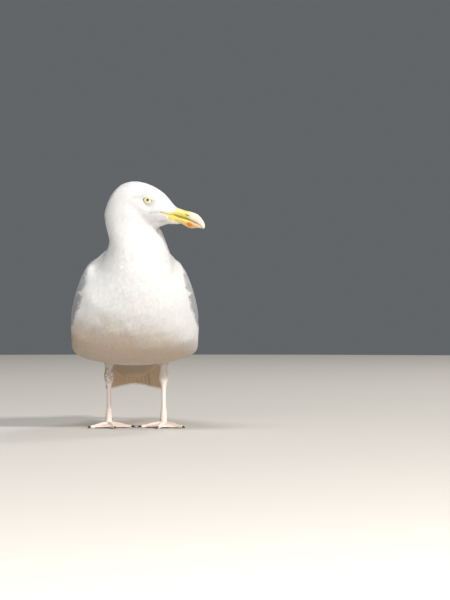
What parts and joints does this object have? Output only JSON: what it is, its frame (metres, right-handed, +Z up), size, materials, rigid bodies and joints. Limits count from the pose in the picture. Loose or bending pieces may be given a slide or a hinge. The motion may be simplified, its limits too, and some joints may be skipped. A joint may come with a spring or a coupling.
{
  "type": "adult herring gull, still model",
  "caption": "Life-size standing gull with white head and body, grey folded wings with black tips, a yellow hooked bill and pale pink webbed feet, head turned to its left.",
  "frame": {"origin": "on the floor, under the middle of the box round the bird", "axes": "+Z up, the bird faces -Y, its left is +X"},
  "size_m": [0.176, 0.433, 0.3265],
  "materials": {
    "plumage_white": "matte white feathers",
    "plumage_grey": "matte pale grey feathers",
    "plumage_black": "black flight feathers with a slight sheen",
    "bare_leg": "scaly pale pink skin",
    "claw": "smooth dark horn",
    "bill": "satin yellow horn with an orange-red spot and a pale tip",
    "eye": "wet, pale yellow iris round a black pupil"
  },
  "bodies": {
    "root": {"head": "plumage_white", "neck": "plumage_white", "trunk": "plumage_white", "tail": "plumage_white", "wing_left": "plumage_grey", "wing_right": "plumage_grey", "primaries_left": "plumage_black", "primaries_right": "plumage_black", "thigh_left": "plumage_white", "thigh_right": "plumage_white", "shank_left": "bare_leg", "shank_right": "bare_leg", "foot_left": "bare_leg", "foot_right": "bare_leg", "claw_inner_left": "claw", "claw_middle_left": "claw", "claw_outer_left": "claw", "claw_hind_left": "claw", "claw_inner_right": "claw", "claw_middle_right": "claw", "claw_outer_right": "claw", "claw_hind_right": "claw", "bill_upper": "bill", "bill_lower": "bill", "eye_left": "eye", "eye_right": "eye"}
  },
  "joints": []
}
